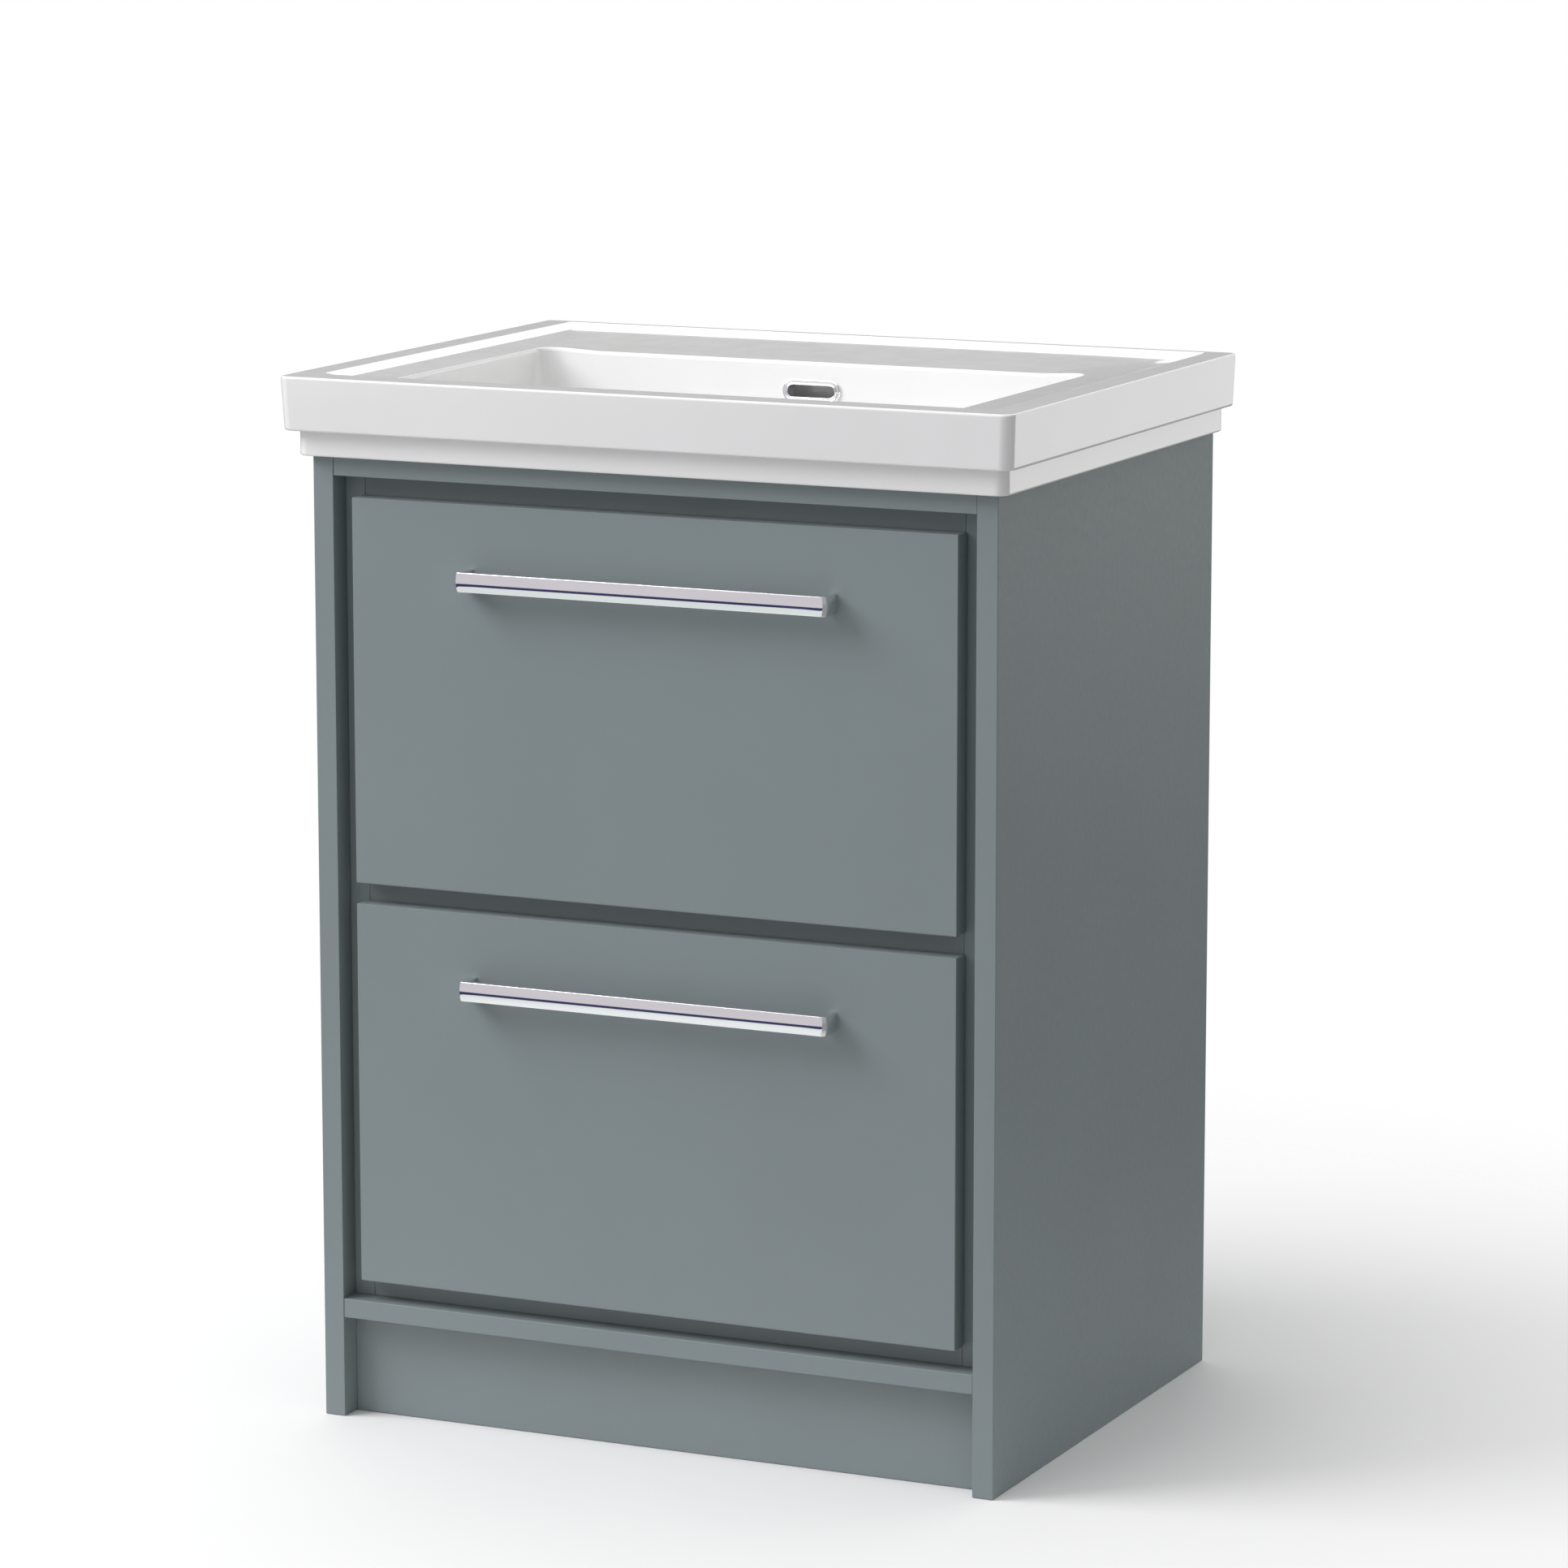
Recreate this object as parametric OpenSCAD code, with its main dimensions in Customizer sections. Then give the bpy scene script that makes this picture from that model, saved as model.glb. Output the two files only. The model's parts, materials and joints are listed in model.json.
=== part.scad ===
// Floor-standing bathroom vanity cabinet: two drawers under a ceramic basin.
// Sizes are in millimetres, +Z is up and the drawers open towards -Y.
// The origin is on the floor, below the middle of the overall width and depth.

/* [Cabinet] */
// Width over the two end panels
cabinet_w = 600; // [500:1:900]
// Depth of the end panels, from their front edge to the wall
cabinet_d = 460; // [380:1:600]
// Height from the floor to the underside of the basin
cabinet_h = 800; // [660:1:960]
// Thickness of the end panels, the carcass boards and the drawer fronts
board_t = 18; // [15:0.1:22]
// Height of the toe space under the bottom trim rail
plinth_h = 84; // [60:1:120]
// Height of the top and bottom trim rails
trim_h = 16; // [12:0.5:24]
// How far the trim rails stand behind the end panels' front edges
trim_recess = 0.5; // [0:0.1:2]
// Height of the cross rail between the drawers
mid_rail_h = 50; // [40:1:70]
// Height of the cross rail behind the top trim
top_rail_h = 55; // [40:1:60]
// Height of the rear rail that is screwed to the wall
wall_rail_h = 110; // [80:1:140]
// Distance between the two wall-fixing holes
wall_hole_span = 400; // [300:1:420]
// Diameter of the wall-fixing holes
wall_hole_d = 8; // [6:0.5:10]
// Thickness of the back panel
back_t = 6; // [3:0.5:9]
// Width of the pipe cut-out in the back panel
pipe_hole_w = 200; // [120:1:280]
// Height of the pipe cut-out in the back panel
pipe_hole_h = 150; // [100:1:180]

/* [Drawer fronts] */
// Gap above and below each drawer front
front_gap = 17; // [8:0.5:24]
// Gap between a drawer front and the end panel beside it
side_gap = 16; // [3:0.5:19]
// How far the drawer fronts stand behind the end panels' front edges
front_recess = 1.5; // [0:0.1:4]
// Thickness of the stop pads between a drawer front and the carcass
pad_t = 1.5; // [1:0.1:3]
// Diameter of the stop pads
pad_d = 8; // [6:0.5:10]

/* [Drawer boxes] */
// Thickness of the boards round a drawer box
side_t = 12; // [10:0.1:16]
// Thickness of a drawer bottom
bottom_t = 6; // [4:0.1:9]
// Depth of the groove that a drawer bottom or the back panel sits in
groove = 5; // [3:0.5:6]
// Height of the lower drawer box
lower_box_h = 180; // [120:1:200]
// Height of the upper drawer box
upper_box_h = 130; // [100:1:150]
// Free height between a drawer box and the board below it
box_lift = 6; // [4:0.5:15]
// Height of a drawer bottom above the lower edge of its box
bottom_lift = 10; // [8:0.5:16]
// Free depth between a drawer box and the back panel
rear_gap = 12; // [5:0.5:40]
// Width of the trap recess in the upper drawer
recess_w = 170; // [120:1:200]
// Wall thickness of the trap recess moulding
recess_t = 3; // [2:0.1:5]

/* [Runners] */
// Thickness of a runner between the carcass and a drawer box
runner_t = 12.7; // [12:0.1:16]
// Height of a runner
runner_h = 45; // [42:0.5:55]
// Step between the stock lengths of runners
runner_step = 50; // [10:10:50]
// Thickness of the runners' sheet steel
sheet_t = 1.2; // [1:0.1:1.5]
// Height of a runner's middle line above the lower edge of the drawer box
runner_lift = 40; // [30:1:55]
// Diameter of the bearing balls
ball_d = 3.6; // [3:0.1:4]

/* [Handles] */
// Distance between the two screws of a handle
handle_span = 320; // [96:1:400]
// Width of a handle's legs
handle_leg = 8; // [7:0.1:12]
// How far a handle stands out from its drawer front
handle_out = 22; // [18:0.1:40]
// Thickness of a handle's bar
handle_t = 6; // [4:0.1:9]
// Height of a handle's bar
handle_h = 16; // [10:0.1:24]
// Distance from the top of a drawer front down to the middle of its handle
handle_drop = 60; // [30:1:120]

/* [Basin] */
// How far the basin's rim overhangs the cabinet's front
rim_over_front = 23; // [15:0.5:40]
// How far the basin's rim overhangs each side
rim_over_side = 20; // [10:0.5:30]
// How far the basin's lower band overhangs each side and the front
band_over = 10; // [4:0.5:14]
// Height of the lower band
band_h = 21; // [15:0.5:30]
// Height of the upper band, up to the rim
rim_h = 44; // [36:0.5:60]
// Taper of the upper band over its height
rim_taper = 2; // [0:0.1:5]
// Width of the flat rim at the front
rim_front = 30; // [20:0.5:40]
// Width of the flat rim at the sides
rim_side = 24; // [15:0.5:40]
// Width of the flat rim at the back
rim_back = 7; // [5:0.5:20]
// Width of the step inside the rim
step_w = 12; // [6:0.5:20]
// Depth of the step inside the rim
step_h = 4; // [2:0.1:8]
// Fall of the deck from the step to the edge of the bowl
deck_fall = 4; // [1:0.1:8]
// Distance from the cabinet's front to the front edge of the bowl
bowl_front = 24; // [22:0.5:60]
// Depth of the shelf behind the bowl, measured from the wall
bowl_back = 145; // [120:1:180]
// Distance from the cabinet's side to the side edge of the bowl
bowl_side = 52; // [50:1:100]
// Depth of the bowl below its edge
bowl_depth = 109; // [90:1:135]
// Radius of the bowl's back corners
bowl_r = 45; // [30:1:80]
// Thickness of the ceramic
ceramic_t = 9; // [7:0.5:12]
// Diameter of the waste hole
waste_d = 45; // [40:0.5:50]
// Width of the overflow ring
ring_w = 53; // [40:0.5:60]
// Height of the overflow ring
ring_h = 20; // [18:0.5:24]
// Distance from the bowl's edge down to the middle of the overflow ring
ring_drop = 24; // [18:0.5:40]

/* [Fits] */
// Gap round a dowel or a screw in its hole
hole_gap = 0.1; // [0.05:0.05:0.2]
// Gap round a panel in its groove or cut-out
panel_gap = 0.2; // [0.1:0.05:0.4]

/* [Hidden] */

LOWER = 0;
UPPER = 1;
LEFT = -1;
RIGHT = 1;
SIDES = [LEFT, RIGHT];

paint = "#7c8687";
melamine = "#d9dad7";
zinc = "#a9adb0";
chrome = "#d4d6da";
ceramic = "#f2f2f0";
moulding = "#c9ccce";
birch = "#d8bd8e";
pad_clear = "#dfe3e4";

$fn = 48;
hull_fn = 32;
skin = 0.01;
over = 1;

// Depth planes
total_d = cabinet_d + rim_over_front;
y_wall = total_d / 2;
y_face = y_wall - cabinet_d;
y_front = y_face + front_recess;
y_box = y_front + board_t;
y_carcass = y_box + pad_t;
y_rear = y_wall - board_t;
y_back = y_rear - back_t;
y_box_end = y_back - rear_gap;

// Width planes
x_out = cabinet_w / 2;
x_panel = x_out - board_t;
x_in = x_panel - board_t;
x_front = x_panel - side_gap;
x_box = x_in - runner_t;
x_box_in = x_box - side_t;

// Height levels
z_base = plinth_h + trim_h;
z_base_top = z_base + board_t;
front_h = (cabinet_h - plinth_h - 2 * trim_h - 3 * front_gap) / 2;
z_front = [z_base + front_gap, z_base + 2 * front_gap + front_h];
z_mid_rail = z_front[UPPER] - front_gap / 2 - mid_rail_h / 2;
z_top_rail = cabinet_h - top_rail_h;
z_wall_rail = cabinet_h - wall_rail_h;
z_box = [z_base_top + box_lift, z_mid_rail + mid_rail_h + box_lift];
box_h = [lower_box_h, upper_box_h];
z_handle = [for (z = z_front) z + front_h - handle_drop];
z_pad = [z_mid_rail + pad_d, z_top_rail + pad_d];
z_runner = [for (z = z_box) z + runner_lift];
rear_rail_h = 80;
back_lap = 10;
pipe_hole_drop = 40;
z_back_top = z_wall_rail + back_lap;
z_pipe = z_back_top - pipe_hole_h - pipe_hole_drop;

// Basin levels and outline
z_band = cabinet_h + band_h;
z_rim = z_band + rim_h;
z_step = z_rim - step_h;
z_edge = z_step - deck_fall;
z_floor = z_edge - bowl_depth;
x_bowl = x_out - bowl_side;
y_bowl = [y_face + bowl_front, y_wall - bowl_back];
waste_y = (y_bowl[0] + y_bowl[1]) / 2 + 15;
waste_boss = 28;
rim_r = 10;
back_r = 4;

// The bowl's front leans back so far that it stays behind the top cross rail
bowl_wall = 0.55;
bowl_rail_gap = 2;
bowl_past_rail = y_carcass + board_t + bowl_rail_gap - y_bowl[0] + ceramic_t;
front_lean = bowl_past_rail * (bowl_wall * bowl_depth + ceramic_t) / (z_edge - cabinet_h);

bowl_edge_r = 20;
// Rings down the bowl: [share of the depth, side inset, front inset, back inset, corner radius]
bowl_rings = [
    [0, 0, 0, 0, bowl_edge_r],
    [bowl_wall, 8, front_lean, 7, bowl_r],
    [0.8, 13, 1.55 * front_lean, 12, bowl_r],
    [0.94, 27, 2.05 * front_lean, 26, bowl_r - 5],
    [1, 60, 3 * front_lean, 56, bowl_r - 10]
];
bowl_front_r = 26;

// Overflow ring, its slot and its channel down to the waste hole
wall_lean = atan(bowl_rings[1][3] / (bowl_rings[1][0] * bowl_depth));
ring_y = y_bowl[1] - ring_drop * tan(wall_lean);
ring_z = z_edge - ring_drop;
ring_flange = 3;
ring_lip = 5.5;
throat_wall = 2.5;
throat_l = 8;
channel_d = 14;
channel_back = y_bowl[1] + ceramic_t + channel_d;
duct_w = ring_w - 2 * ring_lip + 8;
duct_h = 10;
duct_floor_w = 24;

// Fasteners: [diameter, length], and how far they stand from the ends of a joint
dowel_edge = 15;
base_dowel_edge = 50;
dowel = [8, 30];
dowel_in_side = 12;
box_dowel = [6, 24];
box_dowel_in_side = 8;
wood_screw_d = 4;
wood_screw_head = 8;
runner_screw_d = 3.5;
runner_screw_head = 7;
runner_screw_head_t = 0.8;
runner_screw_l = 10;
handle_screw_d = 4;
handle_screw_head = 8;
handle_screw_head_t = 2.2;
handle_screw_in = 11;
box_screw_l = side_t + board_t - 4;
end_screw_l = 2 * board_t - 5;
trim_screw_l = board_t + 15;

// Runner members, measured from the carcass side and from the runner's middle line
half_h = runner_h / 2;
ball_room = ball_d + hole_gap;
member_gap = 1;
outer_flange = half_h - sheet_t;
middle_h = outer_flange - ball_room;
middle_flange = middle_h - sheet_t;
inner_h = middle_flange - ball_room;
outer_u = [0, runner_t - 3.7];
middle_u = [sheet_t + member_gap, runner_t - 2.1];
inner_u = [middle_u[0] + sheet_t + member_gap, runner_t];
lip_h = 1.5;
outer_row = (outer_flange + middle_h) / 2;
inner_row = (middle_flange + inner_h) / 2;
outer_cage_u = (middle_u[0] + outer_u[1]) / 2;
inner_cage_u = (inner_u[0] + middle_u[1] - sheet_t) / 2;
y_runner = y_carcass + 3;
runner_l = floor((y_back - panel_gap - y_runner) / runner_step) * runner_step;
cage_l = runner_l * 0.45;
cage_y = y_runner + runner_l * 0.275;
cage_t = 1.6;
cage_edge = 0.6;
balls_per_row = 6;
runner_holes = [0.12, 0.5, 0.88];

// Trap recess in the upper drawer
recess_x = recess_w / 2;
recess_front = waste_y - recess_x;
recess_r = 20;
recess_flange = 10;
recess_flange_t = 2;

module box(lo, hi)
    translate(lo)
        cube(hi - lo);

// Draws a child made for the right side, mirrored for the left one
module on_side(s)
    if (s == RIGHT)
        children();
    else
        mirror([1, 0, 0])
            children();

// ---------- Fasteners, drawn with gap = 0, or as their holes with a gap ----------

// Cylinder along +X, centred on x
module x_pin(d, l, gap)
    rotate([0, 90, 0])
        cylinder(d = d + 2 * gap, h = l + 2 * gap, center = true);

// Countersunk screw along +Z, with its head's flat face at z = 0
module sunk_screw(l, gap) {
    cone_h = (wood_screw_head - wood_screw_d) / 2;
    cylinder(d1 = wood_screw_head + 2 * gap, d2 = wood_screw_d + 2 * gap, h = cone_h);
    cylinder(d = wood_screw_d + 2 * gap, h = l + gap);
}

// Pan-head screw along +Z, with its head below z = 0
module pan_screw(d, l, head_d, head_t, gap) {
    cylinder(d = d + 2 * gap, h = l + gap);
    translate([0, 0, -head_t])
        cylinder(d = head_d + 2 * gap, h = head_t);
}

// Dowels between the carcass boards, on the right side: [x, y, z]
carcass_dowel_at = [
    for (y = [y_carcass + base_dowel_edge, (y_carcass + y_rear) / 2, y_rear - base_dowel_edge])
        [x_in, y, z_base + board_t / 2],
    for (z = [z_mid_rail + dowel_edge, z_mid_rail + mid_rail_h - dowel_edge,
              z_top_rail + dowel_edge, cabinet_h - dowel_edge])
        [x_in, y_carcass + board_t / 2, z],
    for (z = [z_base + dowel_edge, z_base + rear_rail_h - dowel_edge,
              z_wall_rail + dowel_edge, cabinet_h - dowel_edge])
        [x_in, y_wall - board_t / 2, z],
    for (y = [y_carcass + board_t / 2, y_rear - board_t / 2], z = [0.3 * z_base, 0.7 * z_base])
        [x_panel, y, z]
];

module dowel_set(gap)
    for (s = SIDES)
        on_side(s)
            for (p = carcass_dowel_at)
                translate([p[0] + dowel_in_side - dowel[1] / 2, p[1], p[2]])
                    x_pin(dowel[0], dowel[1], gap);

// Screws from inside each carcass side into its end panel
module end_screw_set(gap)
    for (s = SIDES)
        on_side(s)
            for (y = [y_carcass + 30, y_back - 30], z = [z_box[LOWER] + 150, z_box[UPPER] + 150])
                translate([x_in, y, z])
                    rotate([0, 90, 0])
                        sunk_screw(end_screw_l, gap);

// Screws from behind the top cross rail and the plinth into the trim rails
module trim_screw_set(gap)
    for (x = [-x_in * 0.75, 0, x_in * 0.75], z = [plinth_h + trim_h / 2, cabinet_h - trim_h / 2])
        translate([x, y_carcass + board_t, z])
            rotate([90, 0, 0])
                sunk_screw(trim_screw_l, gap);

// Screws that hold the outer runner members to the carcass
module carcass_runner_screw_set(gap)
    for (s = SIDES)
        on_side(s)
            for (z = z_runner, t = runner_holes)
                translate([x_in - sheet_t, y_runner + t * runner_l, z])
                    rotate([0, 90, 0])
                        pan_screw(runner_screw_d, runner_screw_l, runner_screw_head,
                            runner_screw_head_t, gap);

// Dowels at the corners of a drawer box, with the box's own back at y_box_end
module box_dowel_set(n, gap)
    for (s = SIDES)
        on_side(s)
            for (y = [y_box + side_t / 2, y_box_end - side_t / 2], t = [0.3, 0.8])
                translate([x_box_in + box_dowel_in_side - box_dowel[1] / 2, y, z_box[n] + t * box_h[n]])
                    x_pin(box_dowel[0], box_dowel[1], gap);

// Screws of a drawer box: through its inner front, and through its sides from the runners
module box_screw_set(n, gap) {
    for (x = [-x_box_in * 0.8, x_box_in * 0.8], t = [0.35, 0.8])
        translate([x, y_box + side_t, z_box[n] + t * box_h[n]])
            rotate([90, 0, 0])
                sunk_screw(box_screw_l, gap);
    for (s = SIDES)
        on_side(s)
            for (t = runner_holes)
                translate([x_box + sheet_t, y_runner + t * runner_l, z_runner[n]])
                    rotate([0, -90, 0])
                        pan_screw(runner_screw_d, runner_screw_l, runner_screw_head,
                            runner_screw_head_t, gap);
}

// Machine screws from behind a drawer front into its handle
module handle_screw_set(n, gap)
    for (s = SIDES)
        translate([s * handle_span / 2, y_box, z_handle[n]])
            rotate([90, 0, 0])
                pan_screw(handle_screw_d, board_t + handle_screw_in, handle_screw_head,
                    handle_screw_head_t, gap);

// ---------- Cabinet ----------

module end_panel(s)
    color(paint)
        difference() {
            on_side(s)
                box([x_panel, y_face, 0], [x_out, y_wall, cabinet_h]);
            dowel_set(hole_gap);
            end_screw_set(hole_gap);
        }

module carcass_side(s)
    color(paint)
        difference() {
            on_side(s)
                difference() {
                    box([x_in, y_carcass, z_base], [x_panel, y_wall, cabinet_h]);
                    box([x_in - over, y_back - panel_gap, z_base_top],
                        [x_in + groove, y_rear, z_back_top + panel_gap]);
                }
            dowel_set(hole_gap);
            end_screw_set(hole_gap);
            carcass_runner_screw_set(hole_gap);
        }

module carcass_base()
    color(paint)
        difference() {
            box([-x_in, y_carcass, z_base], [x_in, y_rear, z_base_top]);
            dowel_set(hole_gap);
        }

module plinth_board(y0)
    color(paint)
        difference() {
            box([-x_panel, y0, 0], [x_panel, y0 + board_t, z_base]);
            dowel_set(hole_gap);
            trim_screw_set(hole_gap);
        }

module trim_rail(z0)
    color(paint)
        difference() {
            box([-x_panel, y_face + trim_recess, z0], [x_panel, y_carcass, z0 + trim_h]);
            trim_screw_set(hole_gap);
        }

module cross_rail(y0, z0, h)
    color(paint)
        difference() {
            box([-x_in, y0, z0], [x_in, y0 + board_t, z0 + h]);
            dowel_set(hole_gap);
            trim_screw_set(hole_gap);
        }

module wall_rail()
    color(paint)
        difference() {
            cross_rail(y_rear, z_wall_rail, wall_rail_h);
            for (s = SIDES)
                translate([s * wall_hole_span / 2, y_wall + over, cabinet_h - wall_rail_h / 2])
                    rotate([90, 0, 0])
                        cylinder(d = wall_hole_d, h = board_t + 2 * over);
        }

module back_panel()
    color(paint) {
        x_edge = x_in + groove - panel_gap;
        difference() {
            box([-x_edge, y_back, z_base_top], [x_edge, y_rear, z_back_top]);
            box([-pipe_hole_w / 2, y_back - over, z_pipe],
                [pipe_hole_w / 2, y_rear + over, z_pipe + pipe_hole_h]);
        }
    }

// ---------- Basin ----------

// Thin slab with rounded corners, for hulls: half width, front and back edges, radii
module slab(x, y0, y1, r0, r1, z)
    for (s = SIDES) {
        translate([s * (x - r0), y0 + r0, z])
            cylinder(r = r0, h = skin, $fn = hull_fn);
        translate([s * (x - r1), y1 - r1, z])
            cylinder(r = r1, h = skin, $fn = hull_fn);
    }

// Upright block with rounded corners
module rounded_block(x, y0, y1, r, z0, z1)
    translate([0, 0, z0])
        linear_extrude(z1 - z0) {
            for (s = SIDES, y = [y0 + r, y1 - r])
                translate([s * (x - r), y])
                    circle(r);
            translate([-x, y0 + r])
                square([2 * x, y1 - y0 - 2 * r]);
            translate([-x + r, y0])
                square([2 * (x - r), y1 - y0]);
        }

// The bowl's hollow, or its outside when t is the ceramic's thickness
module bowl(t)
    hull()
        for (b = bowl_rings)
            slab(x_bowl - b[1] + t, y_bowl[0] + b[2] - t, y_bowl[1] - b[3] + t,
                bowl_front_r + t, b[4] + t, z_edge - b[0] * bowl_depth - (b[0] > 0 ? t : 0));

module rim_block()
    hull() {
        x_rim = x_out + rim_over_side;
        slab(x_rim - rim_taper, y_face - rim_over_front + rim_taper, y_wall, rim_r, back_r, z_band);
        slab(x_rim, y_face - rim_over_front, y_wall, rim_r, back_r, z_rim - skin);
    }

// Hollow above the deck, from the rim's inner edge down to the bowl's edge
module deck_hollow()
    hull() {
        x_rim = x_out + rim_over_side - rim_side;
        y_rim = [y_face - rim_over_front + rim_front, y_wall - rim_back];
        slab(x_rim, y_rim[0], y_rim[1], rim_r, back_r, z_rim);
        slab(x_rim - step_w, y_rim[0] + step_w, y_rim[1] - step_w, rim_r, back_r, z_step);
        slab(x_bowl, y_bowl[0], y_bowl[1], bowl_front_r, bowl_edge_r, z_edge);
    }

// Places a child with its +Z along the overflow's axis, into the bowl's back wall
module at_overflow()
    translate([0, ring_y, ring_z])
        rotate([-90 - wall_lean, 0, 0])
            children();

// Bar with two round ends, w wide and h high over all
module obround(w, h, l)
    linear_extrude(l) {
        square([w - h, h], center = true);
        for (s = SIDES)
            translate([s * (w - h) / 2, 0])
                circle(d = h);
    }

throat_w = ring_w - ring_lip;
throat_h = ring_h - ring_lip;

module overflow_ring()
    color(chrome)
        at_overflow()
            difference() {
                union() {
                    translate([0, 0, -ring_flange])
                        obround(ring_w - 2, ring_h - 2, ring_flange);
                    translate([0, 0, -ring_flange / 2])
                        obround(ring_w, ring_h, ring_flange / 2);
                    obround(throat_w, throat_h, throat_l);
                }
                translate([0, 0, -ring_flange - over])
                    obround(throat_w - 2 * throat_wall, throat_h - 2 * throat_wall,
                        ring_flange + throat_l + 2 * over);
            }

module basin() {
    skirt = 22;
    deck_under = z_edge - ceramic_t;
    duct_x = duct_w / 2;
    floor_x = duct_floor_w / 2;
    duct_z = z_floor - ceramic_t - duct_h;
    color(ceramic)
        difference() {
            union() {
                difference() {
                    union() {
                        rim_block();
                        rounded_block(x_out + band_over, y_face - band_over, y_wall, rim_r,
                            cabinet_h, z_band + over);
                    }
                    box([-x_out - band_over + skirt, y_face - band_over + skirt, cabinet_h - over],
                        [x_out + band_over - skirt, y_wall - skirt, deck_under]);
                }
                bowl(ceramic_t);
                translate([0, waste_y, z_floor - waste_boss])
                    cylinder(d = waste_d + 2 * ceramic_t + 4, h = waste_boss);
                box([-duct_x - ceramic_t, y_bowl[1] - 30, duct_z - ceramic_t],
                    [duct_x + ceramic_t, channel_back + ceramic_t, deck_under + over]);
                box([-floor_x - ceramic_t, waste_y, duct_z - ceramic_t],
                    [floor_x + ceramic_t, channel_back, z_floor]);
            }
            deck_hollow();
            bowl(0);
            translate([0, waste_y, z_floor - waste_boss - over])
                cylinder(d = waste_d, h = waste_boss + 2 * over);
            at_overflow()
                translate([0, 0, -over])
                    obround(throat_w + 2 * panel_gap, throat_h + 2 * panel_gap, channel_d + over);
            box([-duct_x, channel_back - channel_d, duct_z],
                [duct_x, channel_back, deck_under - ceramic_t / 2]);
            box([-floor_x, waste_y, duct_z], [floor_x, channel_back, duct_z + duct_h]);
        }
}

// ---------- Runners ----------

// A C-shaped member: u is its reach from the carcass side, h its half height
module member_profile(u, h, web_at_start) {
    web = web_at_start ? u[0] : u[1] - sheet_t;
    lip = web_at_start ? u[1] - sheet_t : u[0];
    translate([web, -h])
        square([sheet_t, 2 * h]);
    for (v = [-h, h - sheet_t])
        translate([u[0], v])
            square([u[1] - u[0], sheet_t]);
    if (web_at_start)
        for (v = [-h + sheet_t, h - sheet_t - lip_h])
            translate([lip, v])
                square([sheet_t, lip_h]);
}

// Places a profile or a set of parts at a runner of drawer n on side s
module at_runner(n, s)
    on_side(s)
        translate([x_in, y_runner, z_runner[n]])
            mirror([1, 0, 0])
                children();

module member(n, s, u, h, web_at_start)
    at_runner(n, s)
        translate([0, runner_l, 0])
            rotate([90, 0, 0])
                linear_extrude(runner_l)
                    member_profile(u, h, web_at_start);

module runner_outer(n, s)
    color(zinc)
        difference() {
            member(n, s, outer_u, half_h, true);
            carcass_runner_screw_set(hole_gap);
        }

module runner_middle(n, s)
    color(zinc)
        member(n, s, middle_u, middle_h, true);

module runner_inner(n, s)
    color(zinc)
        difference() {
            member(n, s, inner_u, inner_h, false);
            box_screw_set(n, hole_gap);
        }

// Two strips with their balls, between two members; v is the height of the ball rows
module ball_cages(n, u, v)
    color(zinc)
        for (s = SIDES)
            at_runner(n, s)
                for (row = [-v, v]) {
                    step = cage_l / balls_per_row;
                    first = cage_y - y_runner + step / 2;
                    difference() {
                        translate([u - cage_t / 2, cage_y - y_runner, row - ball_d / 2 + cage_edge])
                            cube([cage_t, cage_l, ball_d - 2 * cage_edge]);
                        for (i = [0 : balls_per_row - 1])
                            translate([u, first + i * step, row])
                                sphere(d = ball_d + 2 * hole_gap);
                    }
                    for (i = [0 : balls_per_row - 1])
                        translate([u, first + i * step, row])
                            sphere(d = ball_d);
                }

// ---------- Drawers ----------

module drawer_front(n)
    color(paint)
        difference() {
            box([-x_front, y_front, z_front[n]], [x_front, y_box, z_front[n] + front_h]);
            handle_screw_set(n, hole_gap);
            box_screw_set(n, hole_gap);
        }

// The hollow that a drawer bottom sits in, or the bottom itself when gap is negative
module bottom_board(n, gap)
    box([-x_box_in - groove - gap, y_box + side_t - groove - gap, z_box[n] + bottom_lift - max(gap, 0)],
        [x_box_in + groove + gap, y_box_end - side_t + groove + gap,
            z_box[n] + bottom_lift + bottom_t + max(gap, 0)]);

module inner_front(n)
    color(melamine)
        difference() {
            box([-x_box_in, y_box, z_box[n]], [x_box_in, y_box + side_t, z_box[n] + box_h[n]]);
            bottom_board(n, 0);
            box_dowel_set(n, hole_gap);
            box_screw_set(n, hole_gap);
        }

module drawer_side(n, s)
    color(melamine)
        difference() {
            on_side(s)
                box([x_box_in, y_box, z_box[n]], [x_box, y_box_end, z_box[n] + box_h[n]]);
            bottom_board(n, 0);
            box_dowel_set(n, hole_gap);
            box_screw_set(n, hole_gap);
        }

module back_board(n)
    difference() {
        box([-x_box_in, y_box_end - side_t, z_box[n]], [x_box_in, y_box_end, z_box[n] + box_h[n]]);
        bottom_board(n, 0);
        box_dowel_set(n, hole_gap);
    }

module lower_back()
    color(melamine)
        back_board(LOWER);

module upper_backs()
    color(melamine)
        difference() {
            back_board(UPPER);
            recess_block(panel_gap, z_box[UPPER] - over, z_box[UPPER] + upper_box_h + over);
        }

// Upright U with round front corners, grown by t, that runs out past the drawer's back
module recess_block(t, z0, z1) {
    r = recess_r + t;
    x = recess_x + t;
    y0 = recess_front - t;
    translate([0, 0, z0])
        linear_extrude(z1 - z0) {
            for (s = SIDES)
                translate([s * (x - r), y0 + r])
                    circle(r);
            translate([-x + r, y0])
                square([2 * (x - r), r]);
            translate([-x, y0 + r])
                square([2 * x, y_box_end + over - y0 - r]);
        }
}

module lower_bottom()
    color(melamine)
        bottom_board(LOWER, -panel_gap);

module upper_bottom()
    color(melamine)
        difference() {
            bottom_board(UPPER, -panel_gap);
            recess_block(panel_gap, z_box[UPPER], z_box[UPPER] + upper_box_h);
        }

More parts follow.
